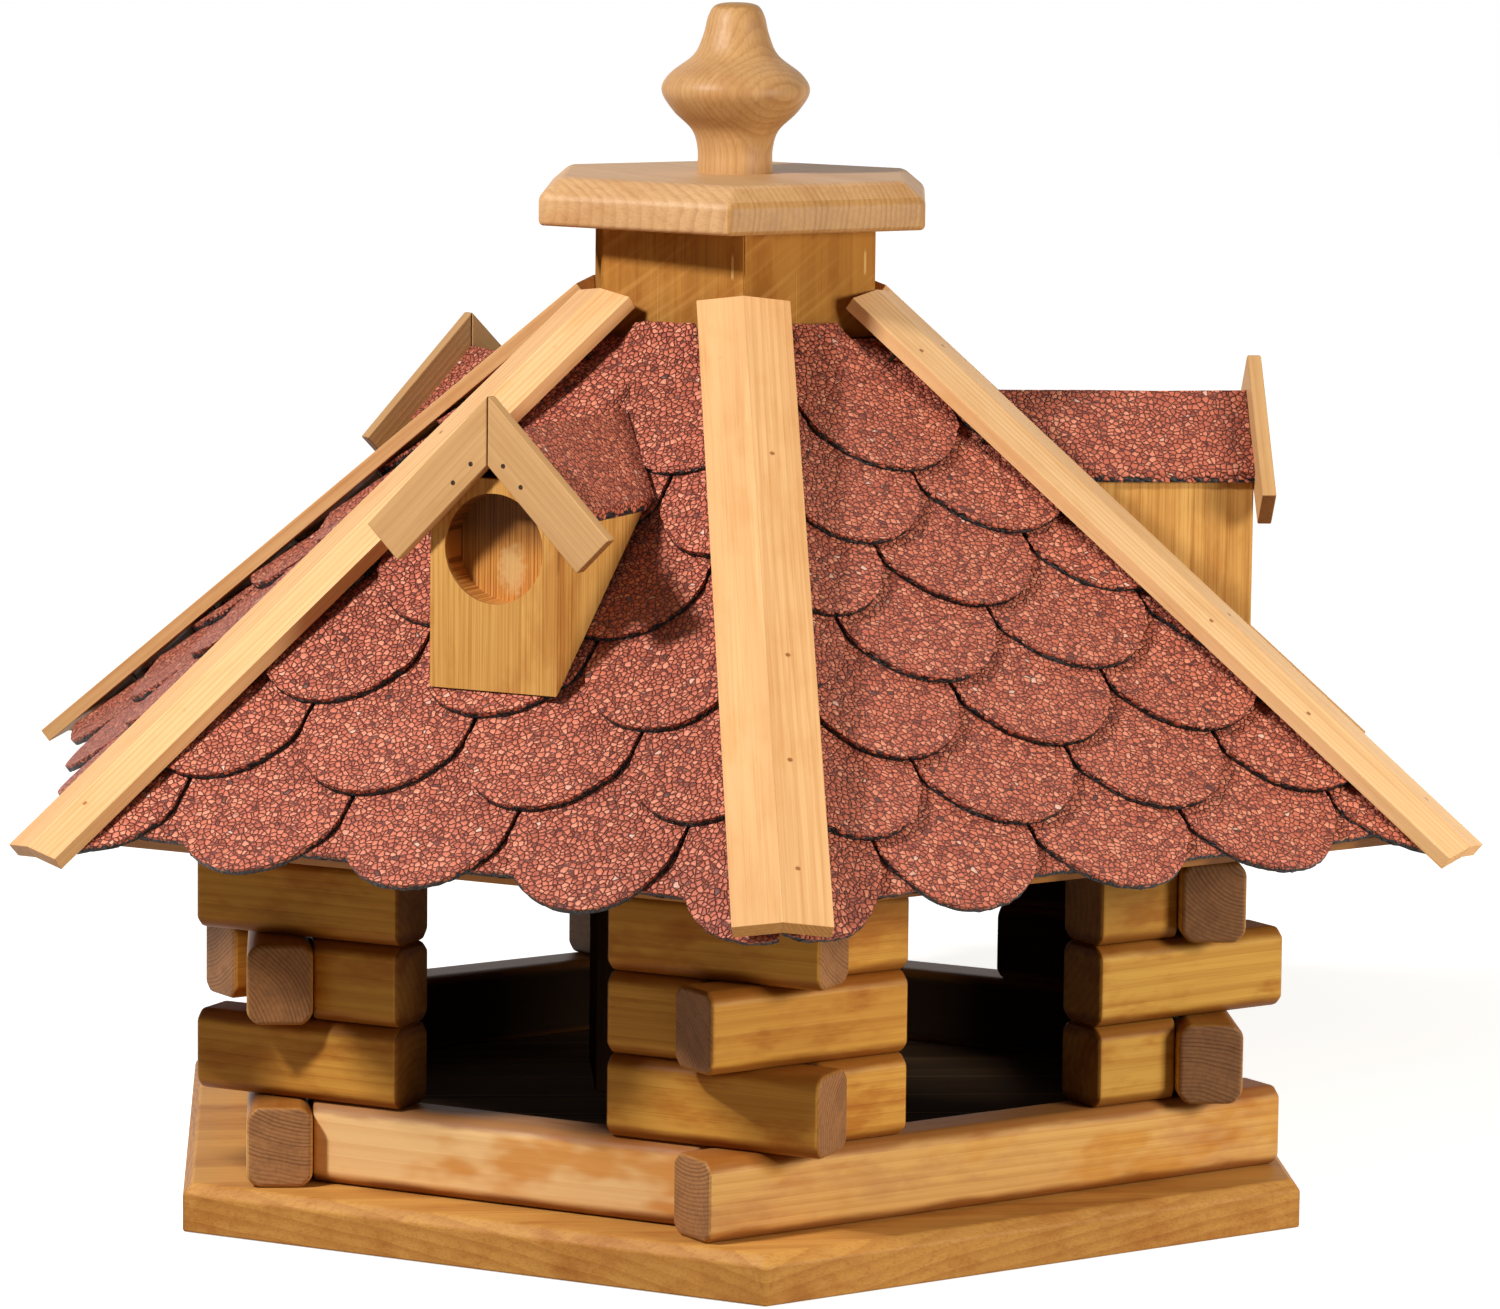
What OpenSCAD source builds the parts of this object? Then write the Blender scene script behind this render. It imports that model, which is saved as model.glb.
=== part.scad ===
// Hexagonal log-cabin bird feeder with a shingled roof, three dormers and a loose lid on a feed silo.
// Millimetres, Z up, one corner towards -Y, origin under the middle of the base plate.

/* [Base plate] */
// Distance from the axis to each corner of the base plate
base_r = 237; // [228:1:260]
// Thickness of the base plate
base_t = 18; // [14:1:24]
// Size of the bevel round its top edge
base_bevel = 4; // [1:0.5:6]

/* [Log walls] */
// Distance from the axis to the outer faces of the walls
wall_out = 182; // [176:1:188]
// Thickness of a log
log_t = 24; // [20:1:28]
// Height of a log
log_h = 30; // [27:1:32]
// Bevel along the four long edges of a log
log_arris = 3.5; // [1:0.5:5]
// How far a log runs past the corner of the house
log_over = 22; // [10:1:24]
// Width of each window
window_w = 85; // [60:1:100]
// Number of log courses that a window is high
window_courses = 3; // [2:1:3]
// Number of log courses in a wall
wall_courses = 6; // [6:1:6]

/* [Corner pins] */
// Diameter of the pin that ties the logs together at each corner
pin_d = 6; // [4:0.5:8]
// Depth of the pin in the base plate
pin_in_base = 12; // [8:1:13]
// Depth of its top end below the top of the walls
pin_sunk = 8; // [6:1:16]

/* [Roof panels] */
// Pitch of the roof faces
roof_pitch = 42.5; // [40:0.5:44]
// Thickness of the roof panels
panel_t = 6; // [5:0.5:9]
// Distance from the axis to the eaves
eave_out = 238; // [230:1:244]
// Height of the bevelled seat on the top logs
seat_drop = 4.5; // [3:0.5:8]

/* [Shingles] */
// Thickness of a shingle
shingle_t = 2.8; // [2:0.1:3.2]
// Width of a shingle tab
tab_w = 62; // [50:1:70]
// Slot between two tabs
tab_gap = 4.5; // [3:0.5:6]
// Length of the slots
tab_slot = 42; // [38:1:46]
// How far the lowest tabs hang past the eaves, along the slope
tab_over = 15; // [10:1:20]
// How far the straight starter strip stands past the eaves, along the slope
starter_over = 2; // [0:0.5:4]
// Rows of shingles on the six faces, from +X anticlockwise
face_rows = [6, 7, 6, 7, 6, 7];
// Sideways shift of the tabs on the six faces
face_shift = [0, 10, -12, 20, -4, 8];
// Height of the top row, from its tips up the slope towards the silo
top_row_h = 72; // [60:1:80]

/* [Hip battens] */
// Width of a batten strip
strip_w = 16.8; // [14:0.1:22]
// Thickness of a batten strip
strip_t = 5.5; // [4:0.5:7]
// Tilt of each strip to its side
strip_tilt = 8.5; // [6:0.5:12]
// Distance from the axis to the lower end of the battens
batten_out = 300; // [285:1:306]

/* [Feed silo] */
// Distance from the axis to the outer faces of the silo boards
silo_out = 51.2; // [48:0.1:56]
// Thickness of a silo board
silo_t = 10; // [8:0.5:12]
// Height of the top of the silo
silo_top = 362; // [350:1:370]
// Gap under the silo that lets the feed out
feed_gap = 15; // [10:1:24]

/* [Dormers] */
// Distance from the axis to the fronts of the dormers, from +X anticlockwise
dormer_out = [196, 190, 189];
// Width of a dormer
dormer_w = 51.6; // [46:0.2:54]
// Thickness of the front board
dormer_front_t = 18; // [14:1:20]
// Thickness of the cheeks
cheek_t = 10; // [6:1:12]
// Height of the ridge of the felt over the roof board where the second dormer's front stands
dormer_rise = 103.7; // [96:0.1:106]
// Thickness of the felt
felt_t = 3; // [2:0.1:4]
// Sideways overhang of the felt past the cheeks
felt_over = 2; // [0:0.5:4]
// Diameter of the round entrance
entrance_d = 39.5; // [30:0.5:40]
// Depth of the round entrance
entrance_depth = 11; // [8:1:13]
// Drop from the ridge of the felt to the middle of the entrance
entrance_drop = 41; // [39:1:44]

/* [Bargeboards] */
// Width of a bargeboard
barge_w = 17.5; // [14:0.5:20]
// Thickness of a bargeboard
barge_t = 5.4; // [4:0.1:7]
// Rise from the ridge of the felt to the peak of the bargeboards
barge_rise = 14; // [9:1:16]
// Distance from the middle to the outer corner of a bargeboard
barge_span = 48.5; // [42:0.5:52]
// Dark gap between the mitre of the bargeboards and the flat top of the front board
peak_gap = 5; // [3:0.5:6]

/* [Lid] */
// Distance from the axis to each corner of the cap
cap_r = 83; // [76:1:90]
// Thickness of the cap
cap_t = 18; // [16:1:22]
// Width of the bevel round the top of the cap
cap_bevel = 8; // [5:0.5:10]
// Height of that bevel
cap_bevel_h = 7; // [5:0.5:10]
// Thickness of the round plug under the cap
plug_t = 12; // [8:1:16]
// Gap between the plug and the silo
plug_play = 1.2; // [0.8:0.1:2]
// Turn of the loose lid on the silo
lid_turn = -5; // [-8:1:8]

/* [Finial] */
// Radius of the neck
neck_r = 14.2; // [12:0.1:16]
// Largest radius of the finial
bulb_r = 28; // [24:0.5:30]
// Radius of the finial near its top
crown_r = 11.6; // [9:0.1:13]
// Height of the finial
finial_h = 64; // [58:1:68]
// Diameter of the tenon in the cap
tenon_d = 12; // [8:1:16]
// How far the tenon stops short of the underside of the cap
tenon_short = 1; // [0.5:0.5:4]

/* [Brads] */
// Diameter of a brad
brad_d = 1.6; // [1.2:0.1:2]
// Length of the brads that nail the battens to the roof
brad_len = 20; // [18:1:22]
// Brads in each batten strip
brads_per_strip = 6; // [3:1:7]
// Depth of a brad's head below the face of the wood
brad_sunk = 0.3; // [0.2:0.1:1]
// Places of the brads along a bargeboard, from its peak
barge_brads = [22, 32];
// Distance of those brads from the lower edge of the bargeboard
barge_brad_up = 4.7; // [3:0.1:8]

/* [Hidden] */

$fn = 64;
sides = 6;
step = 360 / sides;
far = 500;
touch = 0.05;
joint_gap = 0.15;
hip_gap = 0.4;
silo_play = 0.3;
pin_play = 0.1;

// Heights of the walls, and the bore for the corner pins where two log lines cross
wall_top = base_t + wall_courses * log_h;
wall_in = wall_out - log_t;
corner_out = (wall_out - log_t / 2) / cos(30);
log_half = wall_out * tan(30) + log_over;

// The underside of a roof panel rests on the seat of the top logs
panel_rise = panel_t / cos(roof_pitch);
function under_z(out) = wall_top - seat_drop + tan(roof_pitch) * (wall_out - out);
function board_z(out) = under_z(out) + panel_rise;
hip_slope = atan(tan(roof_pitch) * cos(30));
hip_lean = acos(cos(roof_pitch) / cos(hip_slope));

// Shingle rows are parallel plates, each lying face to face on the row below
lap = 1.75;
lay_low = lap * shingle_t;
lay_top = lay_low + shingle_t;
tab_pitch = tab_w + tab_gap;
slope_len = (eave_out - silo_out) / cos(roof_pitch);
function row_step(rows) = (slope_len + tab_over - top_row_h) / (rows - 1);
function face_half(y) = (eave_out - y * cos(roof_pitch)) * tan(30);
function row_tilt(rows) = asin(shingle_t / row_step(rows));

// The dormers and battens stand on the highest points of the shingles
rest_lift = lay_top + touch;
seam_low = rest_lift / cos(hip_lean);
seam_top = seam_low + strip_t / cos(strip_tilt);
batten_foot = batten_out - seam_top * sin(hip_slope);
batten_len = (batten_foot - silo_out) / cos(hip_slope);
batten_hang = (batten_foot - eave_out / cos(30)) / cos(hip_slope);

silo_bottom = base_t + feed_gap;
plug_r = silo_out - silo_t - plug_play;
felt_side = dormer_w / 2 + felt_over;
felt_drop = felt_t / cos(45);
dormer_ridge = board_z(dormer_out[1]) + dormer_rise;
gable_peak = dormer_ridge - felt_drop - touch;
barge_peak = dormer_ridge + barge_rise;
entrance_z = dormer_ridge - entrance_drop;

// Angle of wall number i, of the corner after it, and of dormer number i
function wall_angle(i) = step * i;
function corner_angle(i) = step * i + step / 2;

// Logs of the walls at 60, 180 and 300 degrees run past the corners in the odd courses
function runs_past(i, course) = (i + course) % 2 == 0;

wood_pale = "burlywood";
wood_gold = "goldenrod";
wood_brown = "peru";
wood_dark = "saddlebrown";
shingle_red = "indianred";

// Children stand on wall i: X along the wall, Y inwards from the axis distance, Z up
module on_wall(i, out = 0) {
    rotate([0, 0, wall_angle(i) - 270]) translate([0, -out, 0]) children();
}

// Children lie on roof face i: X along the eaves, Y up the slope from the eaves, Z out of the face
module on_roof(i) {
    on_wall(i, eave_out) translate([0, 0, board_z(eave_out)]) rotate([roof_pitch, 0, 0]) children();
}

// Children lie on the hip after face i: X across it, Y up it, Z out of it
module on_hip(i) {
    rotate([0, 0, corner_angle(i) - 270])
        translate([0, -batten_foot, board_z(batten_foot * cos(30))])
            rotate([hip_slope, 0, 0]) children();
}

// One sixth of all space, on the side of wall i
module sector(i, gap) {
    rotate([0, 0, wall_angle(i)]) translate([2 * gap, 0, 0]) linear_extrude(far)
        polygon([[0, 0], [far, -far * tan(30)], [far, far * tan(30)]]);
}

module hex_prism(out, z, h) {
    translate([0, 0, z]) rotate([0, 0, 30]) cylinder(r = out / cos(30), h = h, $fn = sides);
}

// Hexagonal board with a bevel round its top edge
module hex_board(r, t, bevel, bevel_h) {
    out = r * cos(30);
    lean = atan(bevel / bevel_h);
    difference() {
        hex_prism(out, 0, t);
        for (i = [0 : sides - 1])
            on_wall(i, out) translate([-r, 0, t - bevel_h]) rotate([-lean, 0, 0])
                translate([0, -far, -far / 2]) cube([2 * r, far, far]);
    }
}

module log_section() {
    a = log_arris;
    top = log_h - touch;
    polygon([
        [a, 0], [log_t - a, 0], [log_t, a], [log_t, top - a],
        [log_t - a, top], [a, top], [0, top - a], [0, a]
    ]);
}

// Log of wall i in one course, from one place along the wall to another
module log_piece(i, course, from, to) {
    on_wall(i, wall_out) translate([from, 0, base_t + (course - 1) * log_h])
        rotate([90, 0, 90]) linear_extrude(to - from) log_section();
}

module pin_bore(i) {
    rotate([0, 0, corner_angle(i)]) translate([corner_out, 0, base_t - pin_in_base])
        cylinder(d = pin_d + 2 * pin_play, h = far);
}

// A log that runs past both corners is bored for the pins, the others stop at their neighbours
module full_log(i, course) {
    if (runs_past(i, course))
        difference() {
            log_piece(i, course, -log_half, log_half);
            pin_bore(i);
            pin_bore(i + sides - 1);
        }
    else
        intersection() {
            log_piece(i, course, -log_half, log_half);
            on_wall(i - 1, wall_in) translate([-far, joint_gap, 0]) cube([2 * far, far, far]);
            on_wall(i + 1, wall_in) translate([-far, joint_gap, 0]) cube([2 * far, far, far]);
        }
}

// The part of a log that is left beside the window, after it or, mirrored, before it
module short_log(i, course, mirrored) {
    intersection() {
        full_log(i, course);
        on_wall(i) mirror([mirrored, 0, 0]) translate([window_w / 2, -far, 0]) cube([far, far, far]);
    }
}

module base_plate() {
    color(wood_brown) difference() {
        hex_board(base_r, base_t, base_bevel * cos(30), base_bevel);
        for (i = [0 : sides - 1]) pin_bore(i);
    }
}

module sill_log(i) {
    color(wood_gold) full_log(i, 1);
}

module corner_post(i) {
    color(wood_gold) for (course = [2 : window_courses + 1]) {
        short_log(i, course, 0);
        short_log(i + 1, course, 1);
    }
}

module head_logs(i) {
    color(wood_gold) difference() {
        for (course = [window_courses + 2 : wall_courses]) full_log(i, course);
        for (j = [i - 1 : i + 1])
            on_roof(j) translate([-far, -far / 2, -panel_t]) cube([2 * far, 2 * far, far]);
    }
}

module corner_pins() {
    pin_len = pin_in_base + wall_courses * log_h - pin_sunk;
    color(wood_pale) for (i = [0 : sides - 1])
        rotate([0, 0, corner_angle(i)]) translate([corner_out, 0, base_t - pin_in_base])
            cylinder(d = pin_d, h = pin_len);
}

module roof_panel(i) {
    color(wood_dark) difference() {
        intersection() {
            on_roof(i) translate([-eave_out, 0, -panel_t])
                cube([2 * eave_out, slope_len + panel_t, panel_t]);
            sector(i, joint_gap);
        }
        face_brad_bores(i);
        hex_prism(silo_out + silo_play, 0, far);
    }
}

// Outline of one row, with its tabs hanging from a strip; Y is measured up from the tips
// A slot that runs out at a hip is closed above the round tab ends, so no sliver is cut loose
module row_outline(row_y, shift, len) {
    count = ceil(eave_out / tab_pitch);
    neck = tab_slot - tab_w / 2 + 1;
    translate([-eave_out, tab_slot]) square([2 * eave_out, len - tab_slot]);
    for (j = [-count : count]) translate([shift + j * tab_pitch, tab_w / 2]) {
        slot_x = shift + (j + 0.5) * tab_pitch;
        circle(d = tab_w);
        translate([-tab_w / 2, 0]) square([tab_w, neck]);
        if (abs(slot_x) + 2 * tab_gap > face_half(row_y + tab_slot))
            translate([tab_w / 2 - 1, 0]) square([tab_gap + 2, neck]);
    }
}

module shingle_rows(i) {
    rows = face_rows[i];
    rise = row_step(rows);
    tilt = row_tilt(rows);
    for (row = [0 : rows - 1]) {
        shift = face_shift[i] + (row % 2) * tab_pitch / 2;
        len = row == rows - 1 ? top_row_h + tab_over : lap * rise + shingle_t;
        row_y = row * rise - tab_over;
        translate([0, row_y, lay_low]) rotate([-tilt, 0, 0])
            linear_extrude(shingle_t - touch) row_outline(row_y, shift, len);
    }
    translate([-eave_out, -tab_over, lay_low]) rotate([-tilt, 0, 0])
        translate([0, tab_over - starter_over, -shingle_t])
            cube([2 * eave_out, tab_slot, shingle_t - touch]);
}

module shingles(i) {
    color(shingle_red) difference() {
        intersection() {
            on_roof(i) shingle_rows(i);
            sector(i, hip_gap);
            on_roof(i) translate([-far, -far / 2, touch]) cube([2 * far, far, far]);
        }
        face_brad_bores(i);
        hex_prism(silo_out + silo_play, 0, far);
    }
}

// Children lie on one strip of the batten on hip i: side 0 is over face i + 1, side 1 over face i
module on_strip(i, side) {
    on_hip(i) mirror([side, 0, 0]) translate([0, 0, seam_low]) rotate([0, strip_tilt, 0]) children();
}

// Children stand at the point of each brad in a strip, spread over the length that lies on the roof
module strip_brad_places() {
    spacing = (batten_len - batten_hang) / brads_per_strip;
    for (j = [0 : brads_per_strip - 1])
        translate([strip_w * 0.6, batten_hang + spacing * (j + 0.5), strip_t - brad_sunk - brad_len])
            children();
}

module strip_brad_bores(i, side) {
    on_strip(i, side) strip_brad_places() translate([0, 0, -pin_play])
        cylinder(d = brad_d + 2 * pin_play, h = brad_len + 2 * brad_sunk);
}

// The bores in roof face i for the brads of the battens on its two hips
module face_brad_bores(i) {
    strip_brad_bores(i, 1);
    strip_brad_bores(i - 1, 0);
}

module hip_batten(i) {
    lean = strip_t * tan(strip_tilt);
    color(wood_pale) difference() {
        for (side = [0, 1]) intersection() {
            on_strip(i, side) translate([-lean, 0, 0]) cube([strip_w + lean, batten_len, strip_t]);
            sector(i + 1 - side, joint_gap);
        }
        for (side = [0, 1]) strip_brad_bores(i, side);
        hex_prism(silo_out + silo_play, 0, far);
    }
}

module silo_board(i) {
    color(wood_brown) difference() {
        intersection() {
            hex_prism(silo_out, silo_bottom, silo_top - silo_bottom);
            sector(i, 0);
        }
        hex_prism(silo_out - silo_t, 0, far);
    }
}

// Cross-section of a dormer from the front, up to a height under the felt
module gable_outline(top) {
    half = dormer_w / 2;
    polygon([
        [-half, 0], [half, 0], [half, gable_peak - half],
        [gable_peak - top, top], [top - gable_peak, top], [-half, gable_peak - half]
    ]);
}

// Everything above the plane that the dormers rest on, behind a distance from the axis
module above_roof(wall, out) {
    intersection() {
        on_roof(wall) translate([-far, -far / 2, rest_lift]) cube([2 * far, 2 * far, far]);
        on_wall(wall, out) translate([-far / 2, 0, 0]) cube([far, far, far]);
    }
}

module dormer_front(d) {
    wall = 2 * d;
    out = dormer_out[d];
    flat_top = barge_peak - barge_w / cos(45) - peak_gap;
    color(wood_gold) difference() {
        intersection() {
            on_wall(wall, out) translate([0, dormer_front_t, 0]) rotate([90, 0, 0])
                linear_extrude(dormer_front_t) gable_outline(flat_top);
            above_roof(wall, out);
        }
        on_wall(wall, out) translate([0, entrance_depth, entrance_z]) rotate([90, 0, 0])
            cylinder(d = entrance_d, h = 2 * entrance_depth);
    }
}

module dormer_cheeks(d) {
    wall = 2 * d;
    out = dormer_out[d];
    back = dormer_front_t + touch;
    color(wood_gold) intersection() {
        on_wall(wall, out) translate([0, far, 0]) rotate([90, 0, 0]) linear_extrude(far - back)
            intersection() {
                gable_outline(gable_peak);
                union() {
                    translate([-dormer_w / 2, 0]) square([cheek_t, far]);
                    translate([dormer_w / 2 - cheek_t, 0]) square([cheek_t, far]);
                }
            }
        above_roof(wall, out);
        on_wall(wall, out) translate([-far / 2, 0, 0]) cube([far, out, far]);
    }
}

// One slope of felt as seen from the front, from the ridge down to its free edge
module felt_outline() {
    translate([0, dormer_ridge])
        polygon([[0, 0], [felt_side, -felt_side], [felt_side, -felt_side - felt_drop], [0, -felt_drop]]);
}

module dormer_felt(d) {
    wall = 2 * d;
    out = dormer_out[d];
    color(shingle_red) for (side = [0, 1]) intersection() {
        on_wall(wall, out) mirror([side, 0, 0]) translate([joint_gap, out, 0])
            rotate([90, 0, 0]) linear_extrude(out) felt_outline();
        above_roof(wall, out);
    }
}

// One bargeboard as seen from the front, from the mitre at the peak to its square end
module barge_outline() {
    slant = barge_span / cos(45);
    intersection() {
        translate([0, barge_peak]) rotate(-45) translate([-barge_w, -barge_w])
            square([slant + barge_w, barge_w]);
        translate([joint_gap, 0]) square([far, far]);
    }
}

// Children stand at the back of a bargeboard, at each of its brads
module barge_brad_places() {
    for (along = barge_brads)
        translate([0, 0, barge_peak]) rotate([0, 45, 0])
            translate([along, -touch, barge_brad_up - barge_w]) rotate([90, 0, 0]) children();
}

module bargeboards(d) {
    wall = 2 * d;
    color(wood_pale) on_wall(wall, dormer_out[d]) for (side = [0, 1]) mirror([side, 0, 0])
        difference() {
            translate([0, -touch, 0]) rotate([90, 0, 0]) linear_extrude(barge_t) barge_outline();
            barge_brad_places() translate([0, 0, -1])
                cylinder(d = brad_d + 2 * pin_play, h = barge_t + 2);
        }
}

// Children take the place of the lid, turned a little on the silo
module lid_place() {
    translate([0, 0, silo_top]) rotate([0, 0, lid_turn]) children();
}

module cap_plate() {
    color(wood_pale) lid_place() difference() {
        hex_board(cap_r, cap_t, cap_bevel, cap_bevel_h);
        translate([0, 0, -1]) cylinder(d = tenon_d + 2 * pin_play, h = cap_t + 2);
    }
}

// Smooth curve through a list of points
function bend(a, b, c, d, t) =
    (2 * b + (c - a) * t + (2 * a - 5 * b + 4 * c - d) * t * t + (3 * b - a - 3 * c + d) * t * t * t) / 2;
function smooth(pts, cuts) = [
    for (i = [1 : len(pts) - 3])
        for (k = [0 : cuts - 1]) bend(pts[i - 1], pts[i], pts[i + 1], pts[i + 2], k / cuts)
];

finial_profile = [
    [neck_r, 0], [neck_r, 0.04 * finial_h], [neck_r, 0.14 * finial_h],
    [1.155 * neck_r, 0.25 * finial_h], [0.84 * bulb_r, 0.36 * finial_h],
    [bulb_r, 0.48 * finial_h], [0.89 * bulb_r, 0.58 * finial_h],
    [1.38 * crown_r, 0.69 * finial_h], [1.07 * crown_r, 0.81 * finial_h],
    [0.914 * crown_r, 0.92 * finial_h], [0.655 * crown_r, 0.985 * finial_h],
    [0, finial_h], [-0.655 * crown_r, 0.985 * finial_h]
];

module finial() {
    curve = smooth(finial_profile, 5);
    color(wood_pale) lid_place() {
        translate([0, 0, cap_t]) rotate_extrude()
            polygon(concat([[0, 0], [neck_r, 0]], curve, [[0, finial_h]]));
        translate([0, 0, tenon_short]) cylinder(d = tenon_d, h = cap_t);
    }
}

module lid_plug() {
    color(wood_brown) lid_place() translate([0, 0, -plug_t]) cylinder(r = plug_r, h = plug_t);
}

// The battens are nailed through the shingles into the roof panels; all heads lie just under the wood
module brads() {
    color("silver") {
        for (i = [0 : sides - 1], side = [0, 1])
            on_strip(i, side) strip_brad_places() cylinder(d = brad_d, h = brad_len);
        for (d = [0 : 2], side = [0, 1])
            on_wall(2 * d, dormer_out[d]) mirror([side, 0, 0])
                barge_brad_places() cylinder(d = brad_d, h = barge_t - brad_sunk);
    }
}

base_plate();
for (i = [0 : sides - 1]) {
    sill_log(i);
    corner_post(i);
    head_logs(i);
    roof_panel(i);
    shingles(i);
    hip_batten(i);
    silo_board(i);
}
corner_pins();
for (d = [0 : 2]) {
    dormer_front(d);
    dormer_cheeks(d);
    bargeboards(d);
    dormer_felt(d);
}
cap_plate();
finial();
lid_plug();
brads();
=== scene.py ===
import math
import random

import bmesh
import bpy
from mathutils import Matrix, Vector, noise


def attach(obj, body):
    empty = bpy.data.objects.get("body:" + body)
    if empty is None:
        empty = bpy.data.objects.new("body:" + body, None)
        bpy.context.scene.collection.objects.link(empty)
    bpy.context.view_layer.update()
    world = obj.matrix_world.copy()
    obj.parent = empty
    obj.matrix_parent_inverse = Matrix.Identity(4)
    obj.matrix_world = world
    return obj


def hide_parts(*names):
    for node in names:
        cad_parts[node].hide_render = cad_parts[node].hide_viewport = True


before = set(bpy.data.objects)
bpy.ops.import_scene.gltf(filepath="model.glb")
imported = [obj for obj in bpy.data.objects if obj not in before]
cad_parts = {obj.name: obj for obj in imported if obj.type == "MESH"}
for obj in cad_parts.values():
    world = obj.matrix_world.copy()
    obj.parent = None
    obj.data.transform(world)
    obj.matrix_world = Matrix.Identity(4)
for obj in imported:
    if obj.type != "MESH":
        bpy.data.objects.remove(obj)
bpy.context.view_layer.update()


# Base plate: one six-sided board of glazed pine with a small chamfer round its top.
# Its band shows side grain on some faces, end grain on others; indoors it is the floor, dark
# partly with staining and partly with painted shade.
# The whole house stands on it, and six dowels go into blind holes under the corners.

class Value:
    """A shader socket that Python sums can use; each sum adds the Math node that it needs."""

    def __init__(self, finish, socket):
        self.finish, self.socket = finish, socket

    def maths(self, operation, *values):
        return self.finish.node("Math", {"operation": operation}, dict(enumerate(values)))

    def floor(self):
        return self.maths("FLOOR", self)

    def absolute(self):
        return self.maths("ABSOLUTE", self)

    def maximum(self, other):
        return self.maths("MAXIMUM", self, other)

    def __add__(self, other):
        return self.maths("ADD", self, other)

    def __radd__(self, other):
        return self.maths("ADD", other, self)

    def __sub__(self, other):
        return self.maths("SUBTRACT", self, other)

    def __rsub__(self, other):
        return self.maths("SUBTRACT", other, self)

    def __mul__(self, other):
        return self.maths("MULTIPLY", self, other)

    def __rmul__(self, other):
        return self.maths("MULTIPLY", other, self)

    def __truediv__(self, other):
        return self.maths("DIVIDE", self, other)


class Finish:
    """The nodes of one material, or of the world; node() is the only way in for them."""

    def __init__(self, owner):
        self.owner = owner
        owner.use_nodes = True
        self.tree = owner.node_tree
        self.tree.nodes.clear()

    def node(self, kind, settings=None, values=None, output=0):
        """Adds a node with its settings and inputs, and gives one of its outputs."""
        made = self.tree.nodes.new("ShaderNode" + kind)
        for name, setting in (settings or {}).items():
            if name == "stops":
                while len(made.color_ramp.elements) < len(setting):
                    made.color_ramp.elements.new(0.5)
                for stop, (at, colour) in zip(made.color_ramp.elements, setting):
                    stop.position, stop.color = at, colour
            else:
                setattr(made, name, setting)
        for name, value in (values or {}).items():
            if isinstance(value, Value):
                self.tree.links.new(value.socket, made.inputs[name])
            else:
                made.inputs[name].default_value = value
        return Value(self, made.outputs[output]) if made.outputs else None

    def mix(self, share, under, over, how="MIX"):
        """Two colours mixed; the node keeps its colours at sockets 6 and 7, its result at 2."""
        return self.node("Mix", {"data_type": "RGBA", "blend_type": how, "clamp_factor": True},
                         {0: share, 6: under, 7: over}, 2)

    def filtered(self, share, colour, by):
        """A colour seen, by that share, through a coloured glaze."""
        return self.mix(share, colour, self.mix(1.0, colour, by, "MULTIPLY"))

    def vector(self, operation, first, second=(0, 0, 0), output=0):
        return self.node("VectorMath", {"operation": operation}, {0: first, 1: second}, output)

    def length(self, vector):
        return self.vector("LENGTH", vector, output=1)

    def between(self, value, low, high, how="SMOOTHSTEP"):
        """0 at the first bound, 1 at the second, which may be the lower one."""
        return self.node("MapRange", {"interpolation_type": how},
                         {"Value": value, "From Min": low, "From Max": high})

    def cloud(self, at, scale, detail=2.0, rough=0.5, output=0):
        return self.node("TexNoise", {}, {"Vector": at, "Scale": scale, "Detail": detail,
                                          "Roughness": rough}, output)

    def drawn_out(self, at, per_metre, detail=2.0, rough=0.5):
        """Noise with its own count of waves per metre along each axis."""
        return self.cloud(self.vector("MULTIPLY", at, per_metre), 1.0, detail, rough)

    def dice(self, value):
        """A fixed random number for each whole number."""
        return self.node("TexWhiteNoise", {"noise_dimensions": "1D"}, {"W": value})

    def here(self):
        return self.node("TexCoord", {}, {}, "Object")

    def written(self, name, output="Vector"):
        return self.node("Attribute", {"attribute_name": name}, {}, output)

    def number(self, name):
        return self.written(name, "Fac")

    def part(self, vector, axis):
        return self.node("SeparateXYZ", {}, {0: vector}, axis)

    def ray(self, kind):
        return self.node("LightPath", {}, {}, f"Is {kind} Ray")

    def surface(self, colour, roughness, height, depth=0.00025, strength=0.5, shine=0.2,
                metallic=0.0):
        """Ends a material; only its colour, roughness and relief vary over the surface."""
        bump = self.node("Bump", {}, {"Height": height, "Distance": depth, "Strength": strength})
        shader = self.node("BsdfPrincipled", {}, {
            "Base Color": colour, "Roughness": roughness, "Specular IOR Level": shine,
            "Metallic": metallic, "Normal": bump})
        self.node("OutputMaterial", {}, {"Surface": shader})


def tint(red, green, blue):
    """A colour read off in 0-255 steps, as linear light."""
    steps = [c / 255 for c in (red, green, blue)]
    return (*(c / 12.92 if c <= 0.04045 else ((c + 0.055) / 1.055) ** 2.4 for c in steps), 1.0)


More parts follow.
